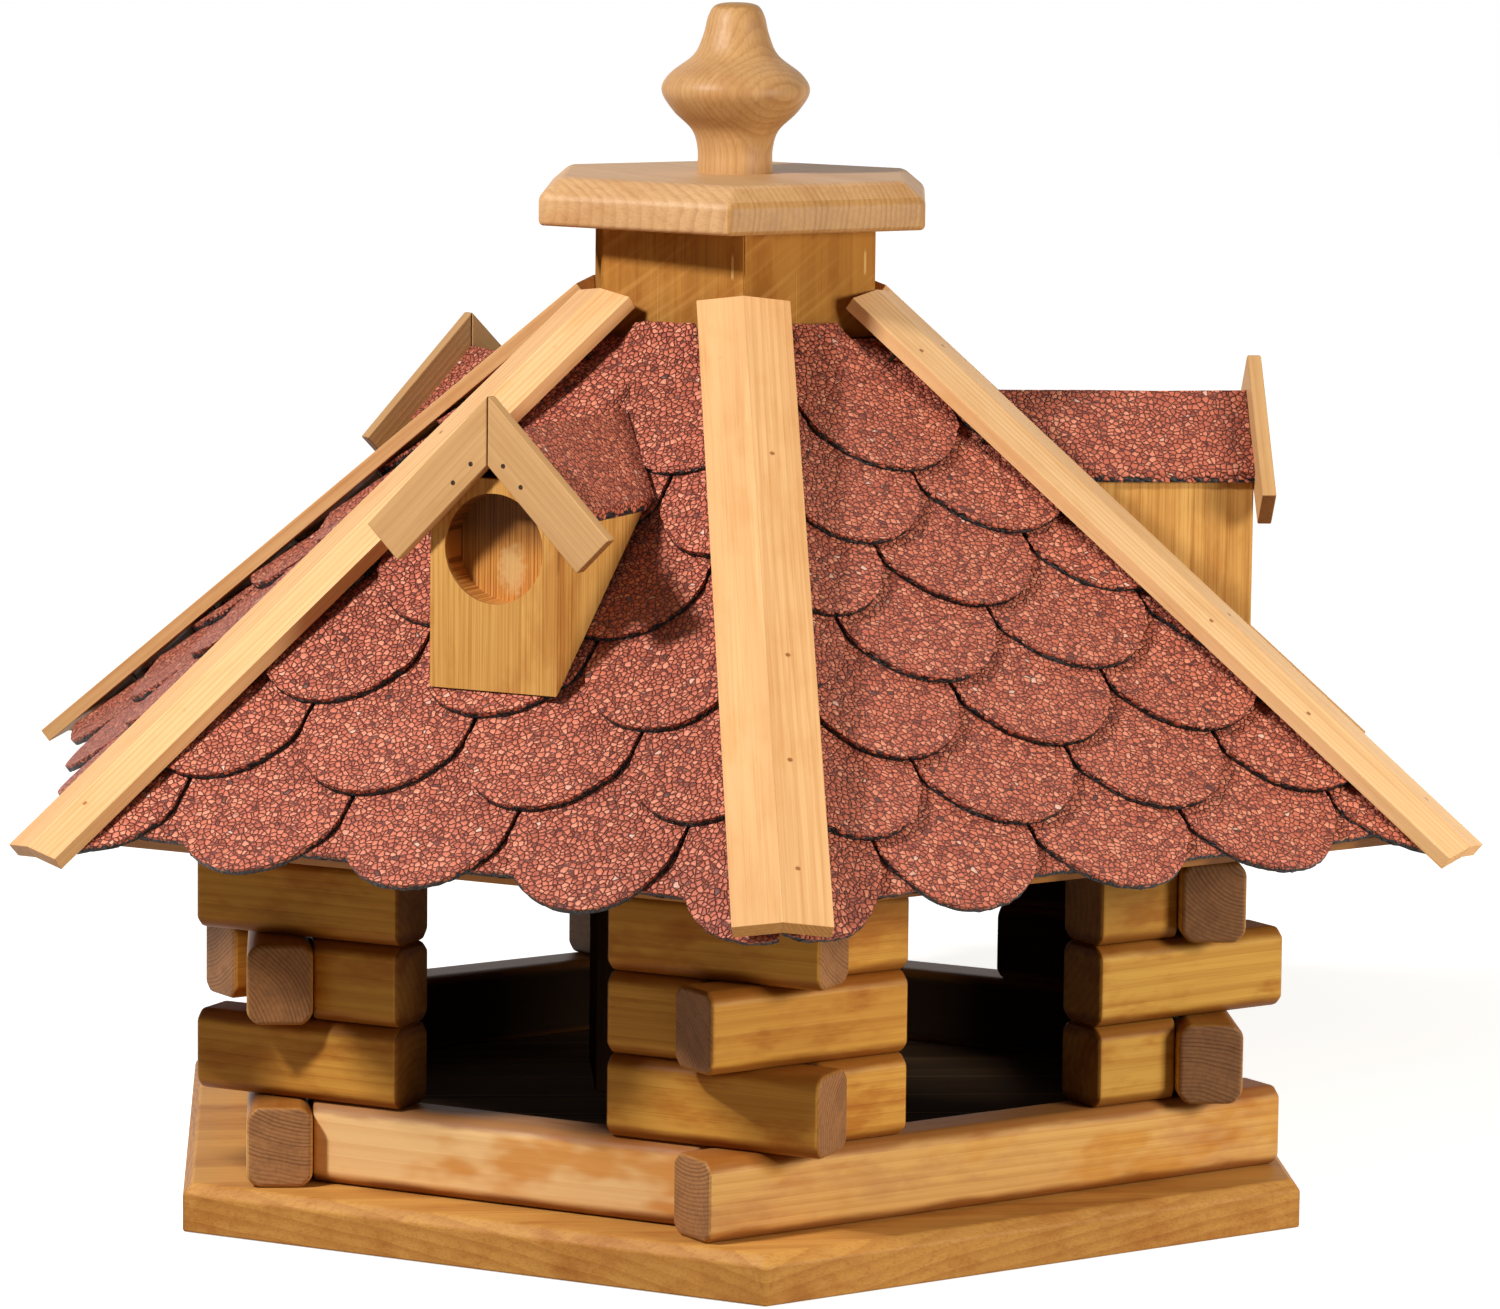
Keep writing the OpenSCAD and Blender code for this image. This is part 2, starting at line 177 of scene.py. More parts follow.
def softwood(finish, pale, ring, end_pale, end_ring, spacing=0.0026, contrast=0.25, streak=0.25,
             glaze=0.4, deep=(0.62, 0.36, 0.16, 1), end_contrast=0.6, end_rings=2.3):
    """Growth rings, fibres, glaze and sawn ends from each solid's own trunk lines.
    Returns the colour, the height and the end-grain mask."""
    ring_drift, darker_board = 0.007, (0.84, 0.80, 0.74, 1)
    trunk = finish.written("grain")
    drift = finish.drawn_out(trunk, (3.5, 26, 26))
    fibre = finish.drawn_out(trunk, (9, 560, 560), 3.0, 0.65)
    thread = finish.drawn_out(trunk, (14, 1500, 1500), 2.0, 0.6)
    band = finish.drawn_out(trunk, (5, 75, 75))
    pool = finish.drawn_out(trunk, (22, 60, 60), 4.0, 0.62)

    spread = finish.length(finish.vector("MULTIPLY", trunk, (0, 1, 1)))
    rings = (spread + (drift - 0.5) * ring_drift) / spacing
    step = rings.floor()
    turn = rings - step
    year = finish.dice(step)
    late = finish.between(turn, 0.3, 0.88) * finish.between(turn, 1.0, 0.92)
    late = late * (0.4 + 0.6 * year)

    side = finish.mix(late * contrast, pale, ring)
    side = finish.mix(finish.between(fibre, 0.48, 0.78) * streak, side, ring)
    side = finish.mix(finish.between(thread, 0.46, 0.68) * streak * 0.7, side, ring)
    side = finish.mix(finish.between(band, 0.42, 0.72) * 0.3, side, ring)
    side = finish.filtered(finish.between(pool, 0.47, 0.68) * glaze, side, deep)

    close = rings * end_rings
    close = close - close.floor()
    line = finish.between(close, 0.35, 0.8) * finish.between(close, 1.0, 0.9)
    cut = finish.mix(line * (0.3 + 0.7 * year) * end_contrast, end_pale, end_ring)
    cut = finish.mix(finish.between(fibre, 0.4, 0.7) * 0.3, cut, end_ring)
    cut = finish.mix(finish.between(pool, 0.45, 0.65) * 0.3, cut, end_ring)

    sawn = finish.between(finish.number("end"), 0.55, 0.8)
    colour = finish.mix(sawn, side, cut)
    colour = finish.filtered(1 - finish.number("tone"), colour, darker_board)
    return colour, fibre * 0.5 + late * 0.4, sawn


def solids(shape):
    """The corners of each separate solid in a mesh, in the mesh's own order."""
    seen, groups = set(), []
    for first in shape.verts:
        if first in seen:
            continue
        seen.add(first)
        group, queue = [], [first]
        while queue:
            corner = queue.pop()
            group.append(corner)
            for edge in corner.link_edges:
                other = edge.other_vert(corner)
                if other not in seen:
                    seen.add(other)
                    queue.append(other)
        groups.append(group)
    return groups


def lies_along(edge):
    return (edge.verts[1].co - edge.verts[0].co).normalized()


def rule_grain(shape, seed, along=None, wide=None, pith=None):
    """Writes each solid's trunk lines, its own place and half sizes, its tone and its sawn ends.
    The trunk runs along the given line or the longest edge, with its core at the given pith
    or at a random place beside the piece."""
    square_on, nearest_core, farthest_core, trunk_reach = 0.2, 0.02, 0.07, 4
    dice = random.Random(seed)
    layers = shape.verts.layers
    grain, place, half = (layers.float_vector.new(n) for n in ("grain", "place", "half"))
    tone = layers.float.new("tone")
    end = shape.faces.layers.float.new("end")
    for group in solids(shape):
        faces = {face for corner in group for face in corner.link_faces}
        if along is None:
            edges = [edge for corner in group for edge in corner.link_edges]
            length = lies_along(max(edges, key=lambda edge: edge.calc_length()))
        else:
            length = Vector(along).normalized()
        if wide is None:
            flat = [face for face in faces if abs(face.normal.dot(length)) < square_on]
            height = max(flat or faces, key=lambda face: face.calc_area()).normal.copy()
        else:
            height = Vector(wide)
        height = (height - length * height.dot(length)).normalized()
        axes = (length, height.cross(length), height)
        local = [Vector([corner.co.dot(axis) for axis in axes]) for corner in group]
        low = Vector([min(p[i] for p in local) for i in range(3)])
        high = Vector([max(p[i] for p in local) for i in range(3)])
        if pith is None:
            turn = dice.uniform(0, 2 * math.pi)
            away = dice.uniform(nearest_core, farthest_core)
            core = Vector((0, math.cos(turn) * away, math.sin(turn) * away))
        else:
            core = Vector((0, *pith))
        core.x = dice.uniform(-trunk_reach, trunk_reach)
        share = dice.random()
        for corner, p in zip(group, local):
            corner[place] = p - (low + high) / 2
            corner[half] = (high - low) / 2
            corner[grain] = p - (low + high) / 2 + core
            corner[tone] = share
        for face in faces:
            face[end] = abs(face.normal.dot(length))


def opened(node):
    """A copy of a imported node's mesh, its doubles merged and its flat faces made whole."""
    same_place, same_plane = 2e-6, 0.01
    shape = bmesh.new()
    shape.from_mesh(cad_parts[node].data)
    bmesh.ops.remove_doubles(shape, verts=shape.verts, dist=same_place)
    bmesh.ops.dissolve_limit(shape, angle_limit=same_plane, verts=shape.verts, edges=shape.edges)
    return shape


def closed(shape, name, finish):
    """A worked mesh as a visible object."""
    mesh = bpy.data.meshes.new(name)
    shape.to_mesh(mesh)
    shape.free()
    mesh.materials.append(finish.owner)
    piece = bpy.data.objects.new(name, mesh)
    bpy.context.scene.collection.objects.link(piece)
    return piece


def worked(name, node, body, finish, seed, arris=0.0009, least=0.004, along=None,
           wide=None, pith=None, shaping=None, variant=0.0, smooth_end=None, seam=None):
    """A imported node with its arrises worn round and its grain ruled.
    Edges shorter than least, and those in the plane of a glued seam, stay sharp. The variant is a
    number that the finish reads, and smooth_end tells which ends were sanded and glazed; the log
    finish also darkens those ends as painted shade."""
    # The glazed mark on an end also tells the log finish to darken it as painted shade.
    sharp_angle, shaded_angle, in_plane, glazed = 0.35, 0.66, 0.0006, -1.0
    shape = opened(node)
    if shaping:
        shaping(shape)
    sharp = [edge for edge in shape.edges if edge.is_manifold and edge.is_convex
             and edge.calc_face_angle() > sharp_angle and edge.calc_length() > least
             and not (seam and all(abs(corner.co.dot(seam[0]) - seam[1]) < in_plane
                                   for corner in edge.verts))]
    bmesh.ops.bevel(shape, geom=sharp, offset=arris, segments=3, profile=0.5,
                    affect="EDGES", material=-1, clamp_overlap=True)
    rule_grain(shape, seed, along, wide, pith)
    layer = shape.verts.layers.float.new("variant")
    for corner in shape.verts:
        corner[layer] = variant
    end = shape.faces.layers.float["end"]
    for face in shape.faces:
        if smooth_end and smooth_end(face.calc_center_median()):
            face[end] = glazed
        face.smooth = True
    for edge in shape.edges:
        edge.smooth = not edge.is_manifold or edge.calc_face_angle() < shaded_angle
    piece = closed(shape, name, finish)
    lay = piece.modifiers.new("flat_faces", "WEIGHTED_NORMAL")
    lay.keep_sharp = True
    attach(piece, body)
    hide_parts(node)


def indoors(finish, reach, soft=0.0012):
    """1 on what faces the room inside the six walls, 0 outside, by distance from the middle."""
    at = finish.here()
    out = [finish.vector("DOT_PRODUCT", at, (math.cos(a), math.sin(a), 0), 1).absolute()
           for a in (0, math.pi / 3, 2 * math.pi / 3)]
    return finish.between(out[0].maximum(out[1]).maximum(out[2]), reach + soft, reach - soft)


floor_reach, plank_width, gap_share = 0.168, 0.034, 0.06

base_pine = Finish(bpy.data.materials.new("base_pine"))
colour, height, _ = softwood(
    base_pine, pale=tint(207, 153, 80), ring=tint(162, 100, 42), end_pale=tint(186, 130, 70),
    end_ring=tint(124, 72, 34), spacing=0.0045, contrast=0.45, streak=0.45, glaze=0.42)
inside = indoors(base_pine, floor_reach)
planks = base_pine.part(base_pine.here(), 1) / plank_width
gap = base_pine.between(planks - planks.floor(), gap_share, 0.0)
# Indoors the planks are dark, partly staining and partly painted shade, with darker joints between
# them.
floor_stain_and_shade = base_pine.mix(gap + height * 0.6, tint(72, 53, 38), tint(138, 106, 78))
colour = base_pine.mix(inside, colour, floor_stain_and_shade)
base_pine.surface(colour, 0.52 + inside * 0.43, height, shine=0.15)

worked("base_board", "base_plate", "house", base_pine, seed=11,
       along=(1, 0.06, 0), wide=(0, 0, 1), pith=(0.02, 0.6))


# Sill logs: six squared pine logs with planed arrises, lying round the base plate.
# Every second one runs past both corners and shows its sawn ends; the others stop at it.
# A honey glaze has pooled along their edges, and has worn thin on the front left one.

# The dark of every face inside the house: partly real staining, partly painted shade for the dim
# room.
stain_and_shade = tint(68, 49, 35)
wall_reach, log_arris = 0.1592, 0.0019
bare_share = (0.2, 0.1, 0.3, 0.2, 0.85, 0.35)
pool_edge, pool_full, pool_wander = 0.0025, -0.001, 0.006

log_pine = Finish(bpy.data.materials.new("log_pine"))
colour, height, sawn = softwood(
    log_pine, pale=tint(222, 168, 78), ring=tint(178, 112, 38), end_pale=tint(168, 119, 78),
    end_ring=tint(98, 65, 43), spacing=0.0034, contrast=0.45, streak=0.4, glaze=0.7,
    end_contrast=0.7)
own, half = log_pine.written("place"), log_pine.written("half")
variant = log_pine.number("variant")
blotch = log_pine.drawn_out(own, (17, 42, 42), 3.0, 0.6)
raw = log_pine.mix(height, tint(242, 204, 150), tint(222, 170, 108))
raw = log_pine.mix(log_pine.between(blotch, 0.5, 0.64) * 0.8, raw, tint(206, 134, 58))
colour = log_pine.mix(variant * (1 - sawn), colour, raw)

from_edge = log_pine.part(half, 2) - log_pine.part(own, 2).absolute()
streaky = log_pine.drawn_out(log_pine.written("grain"), (30, 120, 120), 3.0)
pooled = log_pine.between(from_edge - streaky * pool_wander, pool_edge, pool_full) * (1 - sawn)
colour = log_pine.mix(pooled * 0.75, colour, tint(126, 62, 16))

# Painted shade: the right front stack is darkened all over, its sawn ends more than its sides.
shaded_stack = log_pine.between(variant, 0.0, -1.0, "LINEAR")
stack_shade_tint = log_pine.mix(sawn, (0.81, 0.86, 0.92, 1), (0.62, 0.62, 0.68, 1))
colour = log_pine.filtered(shaded_stack, colour, stack_shade_tint)
# Painted shade: the glazed log ends beside the windows are darkened, as the eaves shade them.
painted_jamb_shade = log_pine.between(log_pine.number("end"), -0.4, -0.8)
colour = log_pine.filtered(painted_jamb_shade, colour, (0.42, 0.36, 0.32, 1))
inside = indoors(log_pine, wall_reach)
colour = log_pine.mix(inside, colour, stain_and_shade)
log_pine.surface(colour, 0.46 + inside * 0.48, height, strength=0.45, shine=0.13)

for wall, bare in enumerate(bare_share, 1):
    worked(f"sill_{wall}", f"sill_log_{wall}", "house", log_pine, seed=20 + wall,
           arris=log_arris, wide=(0, 0, 1), variant=bare)


# Corner posts and head logs: three courses of short logs at each corner, beside the windows,
# and two courses of long logs over them. In each course one log of two runs past the corner.
# The stack at the right front corner is darkened to a dimmer brown, as painted shade.

window_half, shaded_corner = 0.0435, 6


def jamb(at):
    """Tells whether a place lies beside a window, where the ends were sanded and glazed and where
    the log finish darkens them as painted shade.
    """
    turn = math.radians(60 * round(math.degrees(math.atan2(at.y, at.x)) / 60))
    return abs(at.y * math.cos(turn) - at.x * math.sin(turn)) < window_half


for corner in range(1, 7):
    worked(f"corner_stack_{corner}", f"corner_post_{corner}", "house", log_pine,
           seed=40 + corner, arris=log_arris, wide=(0, 0, 1), smooth_end=jamb,
           variant=-1.0 if corner == shaded_corner else 0.0)
    worked(f"window_head_{corner}", f"head_logs_{corner}", "house", log_pine,
           seed=60 + corner, arris=log_arris, wide=(0, 0, 1))


# Corner dowels: six beech pins down through the stacked corners into the base plate.
# They are cut to length and driven in, and are seen only where a log is lifted away.

dowel_beech = Finish(bpy.data.materials.new("dowel_beech"))
colour, height, _ = softwood(
    dowel_beech, pale=tint(214, 178, 132), ring=tint(180, 138, 92), end_pale=tint(190, 150, 104),
    end_ring=tint(150, 110, 70), spacing=0.0016, contrast=0.4)
dowel_beech.surface(colour, 0.5, height, depth=0.0002, strength=0.4)
worked("corner_dowels", "corner_pins", "house", dowel_beech, seed=80,
       arris=0.0004, along=(0, 0, 1), wide=(1, 0, 0), least=1.0)


# Roof panels: six trapezoids of thin pine board, mitred at the hips and seated on the walls.
# Only the lower edge shows under the shingles; inside, they are stained dark like the walls, the
# dark partly staining and partly painted shade.

under_roof = 0.215

panel_pine = Finish(bpy.data.materials.new("panel_pine"))
colour, height, _ = softwood(
    panel_pine, pale=tint(166, 112, 54), ring=tint(126, 78, 36), end_pale=tint(190, 138, 82),
    end_ring=tint(140, 92, 48))
inside = indoors(panel_pine, under_roof)
colour = panel_pine.mix(inside, colour, stain_and_shade)
panel_pine.surface(colour, 0.55 + inside * 0.4, height)

for wall in range(1, 7):
    turn = math.radians(60 * (wall - 1))
    worked(f"roof_board_{wall}", f"roof_panel_{wall}", "house", panel_pine,
           seed=90 + wall, arris=0.0005, along=(-math.sin(turn), math.cos(turn), 0))


# Food silo: six pine boards, glued edge to edge into a tube from over the floor to the lid.
# Planed by hand, with diagonal tool marks, fine scratches and dabs of dried glue near the edges.

stained_and_shaded_below, stain_and_shade_fade = 0.322, 0.006
mark_slant, marks_along, marks_across = 0.7, 260, 18
glue_from_edge, glue_outer, glue_inner = 0.0045, 0.0007, 0.0003

silo_pine = Finish(bpy.data.materials.new("silo_pine"))
colour, height, _ = softwood(
    silo_pine, pale=tint(176, 124, 60), ring=tint(132, 80, 34), end_pale=tint(170, 118, 66),
    end_ring=tint(116, 72, 38), spacing=0.0034, streak=0.3)
own = silo_pine.written("place")
up_board, over_board = silo_pine.part(own, 0), silo_pine.part(own, 1)
slanting = silo_pine.node("CombineXYZ", {}, {
    0: (up_board + over_board * mark_slant) * marks_along, 1: over_board * marks_across})
plane = silo_pine.cloud(slanting, 1.0)
colour = silo_pine.mix(silo_pine.between(plane, 0.45, 0.72) * 0.45, colour, tint(196, 146, 80))
from_edge = silo_pine.part(silo_pine.written("half"), 1) - over_board.absolute()
glue = silo_pine.between((from_edge - glue_from_edge).absolute(), glue_outer, glue_inner)
dabs = silo_pine.drawn_out(own, (70, 30, 0))
colour = silo_pine.mix(glue * silo_pine.between(dabs, 0.52, 0.6) * 0.6, colour,
                       tint(224, 184, 124))
scratch = silo_pine.drawn_out(own, (14, 900, 900), 1.0)
colour = silo_pine.mix(silo_pine.between(scratch, 0.74, 0.78) * 0.5, colour, tint(216, 172, 106))
# Below the roof the boards take the dark inside colour, partly staining and partly painted shade.
low = silo_pine.between(silo_pine.part(silo_pine.here(), 2), stained_and_shaded_below,
                        stained_and_shaded_below - stain_and_shade_fade)
colour = silo_pine.mix(low, colour, stain_and_shade)
silo_pine.surface(colour, 0.55 + low * 0.4, height + plane * 0.25, shine=0.0)

for wall in range(1, 7):
    worked(f"silo_side_{wall}", f"silo_board_{wall}", "house", silo_pine,
           seed=100 + wall, arris=0.0007, along=(0, 0, 1))


# Shingles: bitumen felt strips with rounded tabs, faced with brick-red stone granules.
# The rows start at the eaves, each over the slots of the one below, nailed to the panels.
# By hand the felt was turned up against the silo, and the front tabs hang down a little.

pitch, tab_step = math.radians(42.5), 0.0665
row_shift = (0, 0.010, -0.012, 0.020, -0.004, 0.008)
stones_per_metre, stray = 480.0, 0.0006

granules = Finish(bpy.data.materials.new("red_granules"))
at = granules.here()
wander = granules.cloud(at, 900.0, 1.0, output="Color")
loose = granules.vector("ADD", at, granules.vector("MULTIPLY", wander, (stray, stray, stray)))
cell = {"Vector": loose, "Scale": stones_per_metre, "Randomness": 1.0}
draw = granules.node("TexVoronoi", {"feature": "F1"}, cell, "Color")
lot, spare = granules.part(draw, 0), granules.part(draw, 1)
middle = granules.node("TexVoronoi", {"feature": "F1"}, cell, "Distance")
rim = granules.node("TexVoronoi", {"feature": "DISTANCE_TO_EDGE"}, cell, "Distance")
stone = granules.node("ValToRGB", {"stops": [
    (0.0, tint(84, 52, 48)), (0.012, tint(136, 68, 54)), (0.06, tint(166, 86, 66)),
    (0.4, tint(190, 102, 79)), (0.75, tint(206, 118, 92)), (0.992, tint(222, 144, 116)),
    (0.997, tint(222, 178, 160))]}, {"Fac": lot})
# Between the granules the dark bitumen shows, darkened further as painted shade in the crevices.
on_stone = granules.between(rim, 0.0, 0.15)
colour = granules.mix(on_stone, tint(92, 38, 31), stone)
worn = granules.between(granules.cloud(at, 62.0, 3.0, 0.7), 0.66, 0.74)
colour = granules.mix(worn * granules.between(spare, 0.45, 0.5) * 0.8, colour, tint(44, 34, 34))
torn_edge = granules.between(granules.number("cut") + (spare - 0.5) * 0.5, 0.38, 0.5)
colour = granules.mix(torn_edge, colour, tint(26, 20, 20))
height = (1 - middle) * 0.7 + on_stone * 0.5 + spare * 0.6
granules.surface(colour, 0.55, height, depth=0.0009, strength=1.0, shine=0.35)


def granular(name, node, angle, seed, slope=pitch, curl=0.0006, shaping=None, shift=None):
    """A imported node's felt strips, cut fine, with ragged edges, slightly lifted tabs and waves.
    With a sideways shift given, the slots between the tabs close to thin lines. Felt with no
    slope lies over a dormer, and shows only a thin black edge."""
    fine, long_edge, slot_reach, slot_closed = 0.006, 0.0032, 0.006, 0.9
    tab_foot, wave_depth, ragged_by, least_lift = 0.03, 0.0004, 0.0003, 0.35
    waves, lifts, rows_apart, sideways, upward = 28, 22, 90, 0.5, 0.6
    shape = opened(node)
    out = Vector((math.cos(angle), math.sin(angle), 0))
    side = Vector((-math.sin(angle), math.cos(angle), 0))
    rise = math.sin(slope) * Vector((0, 0, 1)) - math.cos(slope) * out
    up = math.cos(slope) * Vector((0, 0, 1)) + math.sin(slope) * out
    for axis in (side, rise):
        low = min(corner.co.dot(axis) for corner in shape.verts)
        high = max(corner.co.dot(axis) for corner in shape.verts)
        cuts = int((high - low) / fine)
        for k in range(1, cuts):
            bmesh.ops.bisect_plane(
                shape, geom=shape.verts[:] + shape.edges[:] + shape.faces[:], dist=1e-6,
                plane_co=axis * (low + (high - low) * k / cuts), plane_no=axis)
    ragged = set()
    for face in shape.faces:
        if abs(face.normal.dot(up)) < sideways:
            ragged.update(edge for edge in face.edges if edge.calc_length() > long_edge
                          and abs(lies_along(edge).dot(up)) < sideways)
    bmesh.ops.bisect_edges(shape, edges=list(ragged), cuts=1)
    cut = shape.verts.layers.float.new("cut")
    for corner in shape.verts:
        on_top = any(face.normal.dot(up) > upward for face in corner.link_faces)
        corner[cut] = 0.0 if on_top else 1.0 if slope else 0.6
    dice = random.Random(seed)
    groups = solids(shape)
    feet = sorted(min(corner.co.dot(rise) for corner in group) for group in groups)
    for group in groups:
        foot = min(corner.co.dot(rise) for corner in group)
        row = max(0, feet.index(foot) - 1)
        for corner in group:
            over, tall = corner.co.dot(side), corner.co.dot(rise)
            if shift is not None:
                off = (over - shift - row % 2 * tab_step / 2) % tab_step - tab_step / 2
                if abs(off) < slot_reach:
                    corner.co -= side * off * slot_closed * (1 - abs(off) / slot_reach)
            wave = noise.noise(Vector((over * waves, tall * waves, seed)))
            lift = noise.noise(Vector((over * lifts, foot * rows_apart, seed + 5))) + least_lift
            near = max(0.0, 1 - (tall - foot) / tab_foot)
            corner.co += up * (wave_depth * wave + curl * max(0.0, lift) * near * near)
            if any(abs(face.normal.dot(up)) < sideways for face in corner.link_faces):
                corner.co += (side * dice.uniform(-1, 1) + rise * dice.uniform(-1, 1)) * ragged_by
        if shaping:
            shaping(group, out, side)
    piece = closed(shape, name, granules)
    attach(piece, "house")
    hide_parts(node)


def clamped(value):
    return min(1.0, max(0.0, value))


def bedded(group, out, side):
    """Bends the felt up against the silo and to the battens' undersides, and down in front."""
    silo_out, silo_bend, bend_power, turned_up = 0.0512, 0.024, 1.6, 0.0085
    batten_clear, batten_fade, square_to_hip, strip_lean = 0.0178, 0.0015, 0.92, 0.16
    batten_edge, batten_bend, most_under, under_from, under_over = 0.017, 0.024, 0.0027, 0.08, 0.03
    eaves_out, front_half, hang = 0.236, 0.09, 0.55
    up = math.cos(pitch) * Vector((0, 0, 1)) + math.sin(pitch) * out
    for corner in group:
        far_out = corner.co.dot(out)
        clear = far_out * math.tan(math.pi / 6) - abs(corner.co.dot(side))
        near_silo = clamped(1 - (far_out - silo_out) / silo_bend) ** bend_power
        turned = turned_up * near_silo * clamped((clear - batten_clear) / batten_fade)
        wide = square_to_hip * max(0.0, clear)
        under = min(strip_lean * wide, most_under) * clamped((far_out - under_from) / under_over)
        under *= clamped(1 - (wide - batten_edge) / batten_bend) ** 2
        front = max(0.0, 1 - abs(corner.co.x) / front_half) if corner.co.y < 0 else 0.0
        droop = max(0.0, far_out - eaves_out) * hang * front
        corner.co += up * under + Vector((0, 0, turned - droop))


def slot_shut(group, out, side):
    """Closes the slot of the top row beside the front dormer."""
    top_row, slot_at, slot_reach, line_half = 0.24, -0.004, 0.0045, 0.0002
    bedded(group, out, side)
    if min(corner.co.z for corner in group) < top_row:
        return
    for corner in group:
        off = corner.co.dot(side) - slot_at
        if abs(off) < slot_reach:
            corner.co -= side * (off - math.copysign(line_half, off))


for wall, shift in enumerate(row_shift, 1):
    granular(f"shingle_rows_{wall}", f"shingles_{wall}", math.radians(60 * (wall - 1)),
             seed=200 + wall, shaping=slot_shut if wall == 5 else bedded, shift=shift)


# Hip battens: two thin strips of pale planed pine over each hip, meeting in a tight seam.
# They are sawn off at the eaves and nailed down through the shingles; the nails leave dents.

nail_step, dent_half, dent_scatter, painted_light_corner = 0.05, 0.0012, 0.006, 6
dented_from, smooth_to, out_of_reach = 0.65, 0.6, 0.01
climb = math.atan(math.tan(pitch) * math.cos(math.pi / 6))

batten_pine = Finish(bpy.data.materials.new("batten_pine"))
colour, height, _ = softwood(
    batten_pine, pale=tint(232, 187, 134), ring=tint(202, 145, 90), end_pale=tint(224, 168, 100),
    end_ring=tint(172, 112, 58), spacing=0.0030, contrast=0.45, streak=0.5,
    deep=(0.86, 0.72, 0.52, 1))
# Painted light: the batten on the right front hip is made paler, as if the lamps lit it more.
colour = batten_pine.filtered(batten_pine.number("variant"), colour, (1.33, 1.5, 1.76, 1))
own, half = batten_pine.written("place"), batten_pine.written("half")
along = (batten_pine.part(own, 0) + batten_pine.part(half, 0)) / nail_step
nail = along.floor()
chance = batten_pine.dice(nail + batten_pine.number("tone") * 50)
off = batten_pine.node("CombineXYZ", {}, {
    0: (along - nail - 0.5) * nail_step,
    1: batten_pine.part(own, 1) - (chance - 0.5) * dent_scatter,
    2: batten_pine.between(chance, dented_from, smooth_to) * out_of_reach})
dent = batten_pine.between(batten_pine.length(off), dent_half, dent_half / 2)
colour = batten_pine.mix(dent, colour, tint(150, 92, 50))
batten_pine.surface(colour, 0.5, height - dent * 2, strength=0.45)


def unbored(shape):
    """Fills the brads' bores, so that each strip is a plain solid again, and shuts the seam."""
    at_seam, seam_half, same_plane = 0.0006, 0.00002, 0.01
    groups = [[corner.co.copy() for corner in group] for group in solids(shape)]
    places = [place for group in groups for place in group]
    centre = sum(places, Vector())
    across = Vector((-centre.y, centre.x, 0)).normalized()
    for place in places:
        off = place.dot(across)
        if abs(off) < at_seam:
            place -= across * (off - math.copysign(seam_half, off))
    shape.clear()
    for group in groups:
        corners = [shape.verts.new(place) for place in group]
        made = bmesh.ops.convex_hull(shape, input=corners)
        spare = {item for item in made["geom_interior"] + made["geom_unused"]
                 if isinstance(item, bmesh.types.BMVert)}
        bmesh.ops.delete(shape, geom=list(spare), context="VERTS")
    bmesh.ops.dissolve_limit(shape, angle_limit=same_plane, verts=shape.verts, edges=shape.edges)
    shape.normal_update()


for corner in range(1, 7):
    turn = math.radians(60 * corner - 30)
    inward = -math.cos(climb)
    worked(f"hip_strips_{corner}", f"hip_batten_{corner}", "house", batten_pine,
           seed=120 + corner, arris=0.0008, shaping=unbored,
           variant=0.7 if corner == painted_light_corner else 0.0,
           seam=(Vector((-math.sin(turn), math.cos(turn), 0)), 0),
           along=(math.cos(turn) * inward, math.sin(turn) * inward, math.sin(climb)))


# Dormers: three small gables on the roof, each a pine front with a round blind entrance,
# two side cheeks, a folded felt roof and two bargeboards nailed over the front.
# The entrance was bored with a coarse bit, which left a torn patch low in its floor.

front_out, front_thick = (0.196, 0.190, 0.189), 0.018
patch_shift, patch_per_metre = (-0.005, 0.0015, 0), (85, 150, 0)
bore_inside, bore_outside = 0.0203, 0.0207

dormer_pine = Finish(bpy.data.materials.new("dormer_pine"))
colour, height, _ = softwood(
    dormer_pine, pale=tint(222, 174, 100), ring=tint(176, 116, 48), end_pale=tint(170, 118, 66),
    end_ring=tint(112, 70, 36), spacing=0.0021, contrast=0.35, streak=0.8)
own, half = dormer_pine.written("place"), dormer_pine.written("half")
depth_in = dormer_pine.part(half, 2) - dormer_pine.part(own, 2)
recess = (dormer_pine.between(depth_in, 0.0008, 0.0016) * dormer_pine.number("variant")
          * dormer_pine.between(dormer_pine.part(own, 1).absolute(), bore_outside, bore_inside))
stripes = dormer_pine.drawn_out(own, (10, 1300, 10), 3.0, 0.6)
cavity = dormer_pine.mix(dormer_pine.between(stripes, 0.4, 0.66), tint(206, 142, 70),
                         tint(140, 84, 34))
from_patch = dormer_pine.vector("MULTIPLY", dormer_pine.vector("ADD", own, patch_shift),
                                patch_per_metre)
torn = dormer_pine.length(from_patch) + dormer_pine.cloud(own, 420.0, 3.0)
cavity = dormer_pine.mix(dormer_pine.between(torn, 1.5, 0.9) * 0.75, cavity, tint(208, 168, 112))
# Painted shade: the entrance is darkened towards its top, where the bargeboards shade it.
painted_trim_shade = dormer_pine.between(dormer_pine.part(own, 0), 0.006, 0.022)
cavity = dormer_pine.filtered(painted_trim_shade, cavity, (0.34, 0.3, 0.3, 1))
colour = dormer_pine.mix(recess, colour, cavity)
dormer_pine.surface(colour, 0.5, height, shine=0.15)

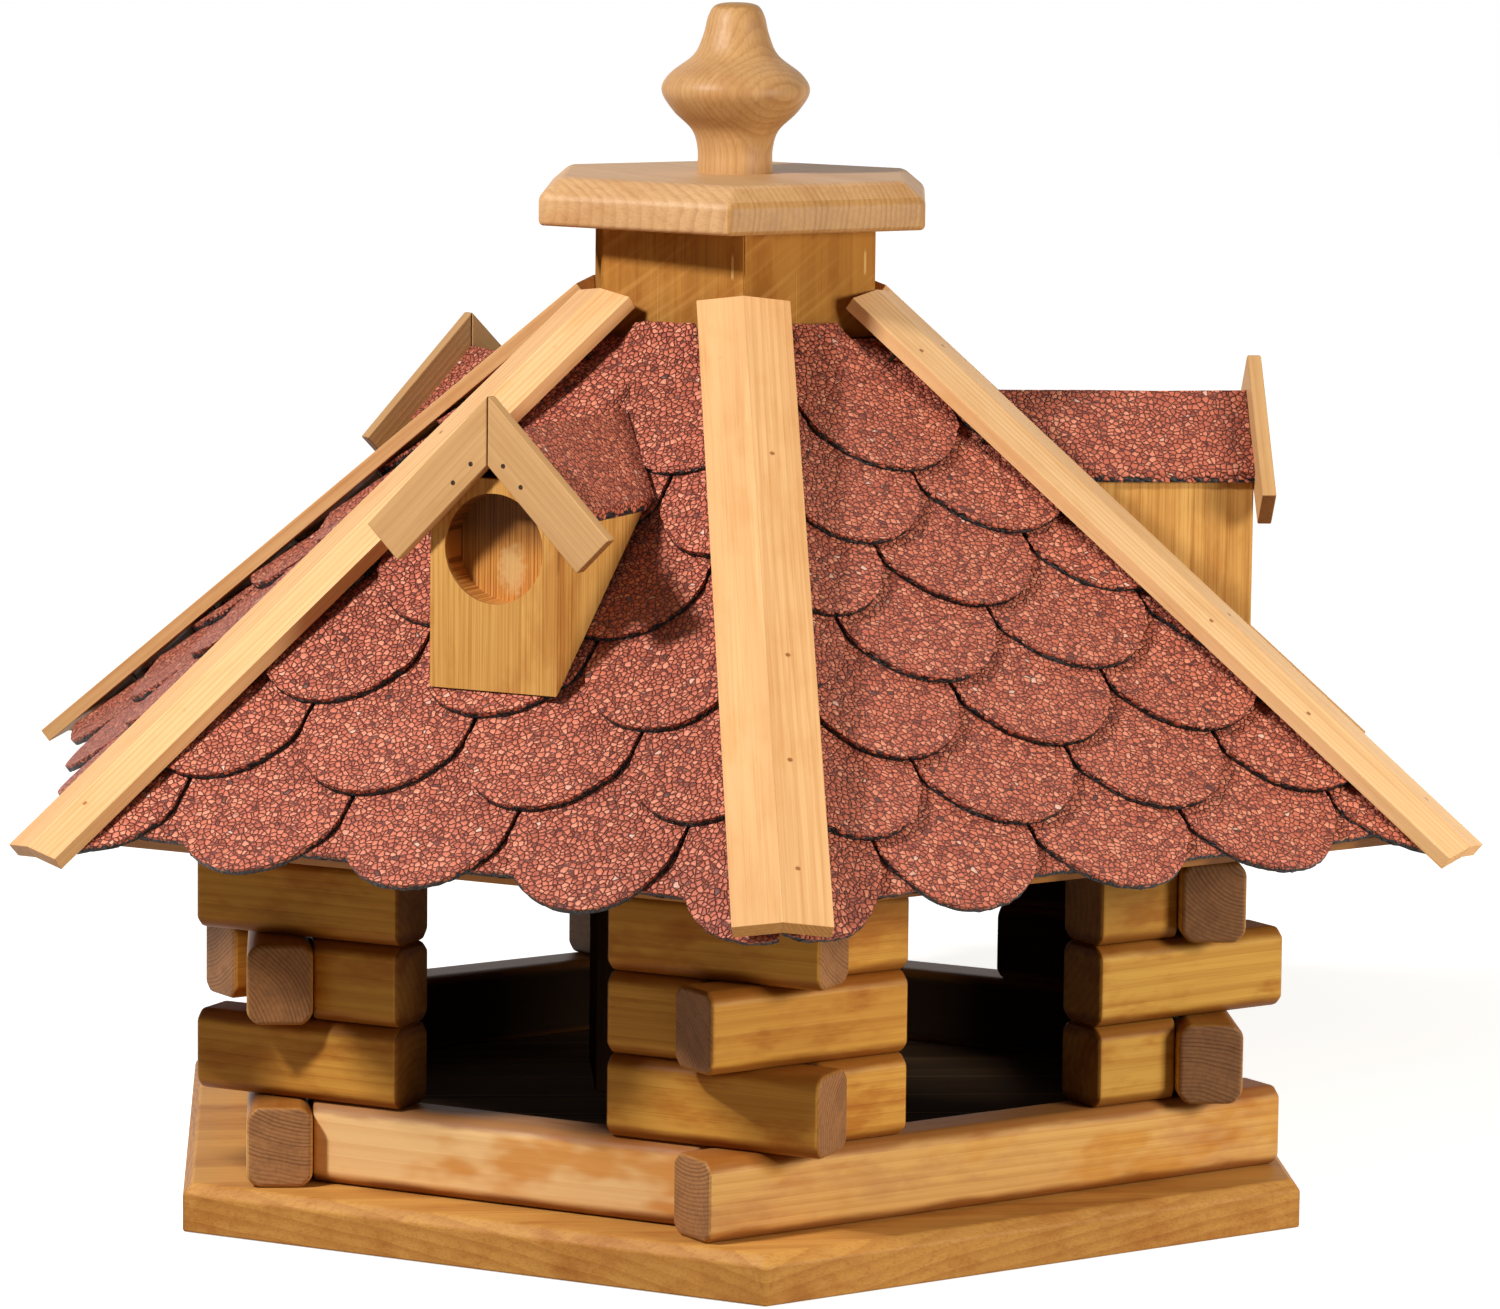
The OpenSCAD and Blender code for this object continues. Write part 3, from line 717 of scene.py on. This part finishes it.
barge_wood = Finish(bpy.data.materials.new("barge_wood"))
colour, height, _ = softwood(
    barge_wood, pale=tint(208, 166, 116), ring=tint(176, 130, 84), end_pale=tint(150, 102, 58),
    end_ring=tint(100, 62, 34), contrast=0.2, streak=0.3, glaze=0.3, deep=(0.82, 0.72, 0.56, 1))
barge_wood.surface(colour, 0.55, height)

for dormer in range(1, 4):
    turn = math.radians(120 * (dormer - 1))
    out = Vector((math.cos(turn), math.sin(turn), 0))
    joint = (out, front_out[dormer - 1] - front_thick)
    worked(f"gable_{dormer}", f"dormer_front_{dormer}", "house", dormer_pine,
           seed=140 + dormer, arris=0.0006, along=(0, 0, 1), wide=out, seam=joint, variant=1.0)
    worked(f"gable_cheeks_{dormer}", f"dormer_cheeks_{dormer}", "house",
           dormer_pine, seed=150 + dormer, arris=0.0004, along=(0, 0, 1), seam=joint)
    worked(f"gable_trim_{dormer}", f"bargeboards_{dormer}", "house", barge_wood,
           seed=160 + dormer, arris=0.0006, wide=out)
    granular(f"gable_felt_{dormer}", f"dormer_felt_{dormer}", turn,
             seed=230 + dormer, slope=0.0, curl=0.0)


# Brads: thin steel pins, one size for battens and bargeboards, driven in by a nail gun.
# Their heads lie just under the wood, so that only those in the bargeboards' holes show.

steel = Finish(bpy.data.materials.new("brad_steel"))
dull = steel.cloud(steel.here(), 1800.0, 3.0)
colour = steel.mix(dull, tint(74, 62, 52), tint(44, 36, 30))
steel.surface(colour, 0.35 + dull * 0.3, dull, depth=0.0001, strength=0.3, metallic=1.0)
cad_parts["brads"].data.materials.clear()
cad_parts["brads"].data.materials.append(steel.owner)


# Lid: a bevelled six-sided board, a round plug under it that drops into the silo,
# and a turned knob with a tenon glued into the board. The lid lifts off to fill the silo.

knob_top = 0.442

cap_wood = Finish(bpy.data.materials.new("cap_wood"))
colour, height, _ = softwood(
    cap_wood, pale=tint(208, 166, 118), ring=tint(162, 110, 64), end_pale=tint(186, 140, 82),
    end_ring=tint(146, 100, 54), spacing=0.0023, contrast=0.4, streak=0.35,
    deep=(0.84, 0.68, 0.46, 1), end_rings=1.0)
colour = cap_wood.filtered(cap_wood.number("variant"), colour, (0.87, 0.82, 0.7, 1))
cap_wood.surface(colour, 0.5, height, shine=0.35)
worked("lid_board", "cap_plate", "lid", cap_wood, seed=171, arris=0.0018,
       along=(-0.5, 0.866, 0), wide=(0, 0, 1), pith=(-0.45, -0.03))
worked("lid_round", "lid_plug", "lid", panel_pine, seed=172, arris=0.0008,
       along=(1, 0, 0), wide=(0, 0, 1), least=1.0)
worked("lid_knob", "finial", "lid", cap_wood, seed=173, least=1.0, along=(0, 0, 1),
       wide=(1, 0, 0), pith=(0.044, 0.040), smooth_end=lambda at: at.z < knob_top, variant=1.0)


# Studio: a white floor that fades into a white room, a soft lamp high on the left, a wider and
# weaker one low on the right, and the camera where the photographer stood.
# To the lens the floor and the room are white; the light they give back is dimmer and warm.

floor_half, floor_drop = 6.0, 0.0003
shadow_glow, fade_from, fade_to = 0.74, 0.35, 0.9
room_glow = 0.09

floor_mesh = bpy.data.meshes.new("floor")
shape = bmesh.new()
bmesh.ops.create_grid(shape, x_segments=1, y_segments=1, size=floor_half,
                      matrix=Matrix.Translation((0, 0, -floor_drop)))
shape.to_mesh(floor_mesh)
shape.free()
floor = bpy.data.objects.new("floor", floor_mesh)
bpy.context.scene.collection.objects.link(floor)
paper = Finish(bpy.data.materials.new("floor_paper"))
seen = paper.ray("Camera").maximum(paper.ray("Glossy")).maximum(paper.ray("Transmission"))
matt = paper.node("BsdfDiffuse", {}, {"Color": (0.34, 0.28, 0.2, 1)})
white = paper.node("BsdfDiffuse", {}, {"Color": (0.8, 0.8, 0.8, 1)})
faded = paper.between(paper.length(paper.here()), fade_from, fade_to)
glow = paper.node("Emission", {}, {"Color": (1, 1, 1, 1),
                                   "Strength": shadow_glow + faded * (1 - shadow_glow)})
lit = paper.node("AddShader", {}, {0: white, 1: glow})
paper.node("OutputMaterial", {}, {"Surface": paper.node("MixShader", {},
                                                        {0: seen, 1: matt, 2: lit})})
floor_mesh.materials.append(paper.owner)

world = bpy.data.worlds.new("studio")
bpy.context.scene.world = world
room = Finish(world)
open_air = room.ray("Camera").maximum(room.ray("Glossy")).maximum(room.ray("Transmission"))
sky = room.node("Background", {}, {
    "Color": room.mix(open_air, (1.0, 0.82, 0.6, 1), (1, 1, 1, 1)),
    "Strength": room_glow + open_air * (1 - room_glow)})
room.node("OutputWorld", {}, {"Surface": sky})


def softbox(name, at, aim, wide, tall, power, colour):
    """An area lamp at a point, turned towards another."""
    lamp = bpy.data.lights.new(name, "AREA")
    lamp.shape, lamp.size, lamp.size_y = "RECTANGLE", wide, tall
    lamp.energy, lamp.color = power, colour
    box = bpy.data.objects.new(name, lamp)
    turn = (Vector(aim) - Vector(at)).to_track_quat("-Z", "Y").to_matrix().to_4x4()
    box.matrix_world = Matrix.Translation(at) @ turn
    bpy.context.scene.collection.objects.link(box)


softbox("key_left", at=(-0.78, -0.56, 0.97), aim=(-0.05, -0.1, 0.2), wide=0.13, tall=0.13,
        power=16.8, colour=(1.0, 0.985, 0.96))
softbox("fill_right", at=(0.9, -0.75, 0.42), aim=(0.05, -0.05, 0.17), wide=0.4, tall=0.3,
        power=10.5, colour=(1.0, 0.95, 0.84))

stand, aim, roll = Vector((-0.1554, -2.4487, 0.5447)), Vector((0, 0, 0.230)), 0.611

lens = bpy.data.cameras.new("camera")
lens.lens, lens.sensor_width = 156.1, 36.0
lens.shift_x, lens.shift_y = 0.0129, -0.0587
lens.clip_start, lens.clip_end = 0.05, 50.0
camera = bpy.data.objects.new("camera", lens)
look = (aim - stand).to_track_quat("-Z", "Y").to_matrix().to_4x4()
camera.matrix_world = (Matrix.Translation(stand) @ look
                       @ Matrix.Rotation(math.radians(roll), 4, "Z"))
bpy.context.scene.collection.objects.link(camera)
bpy.context.scene.camera = camera
bpy.context.scene.view_settings.view_transform = "Standard"
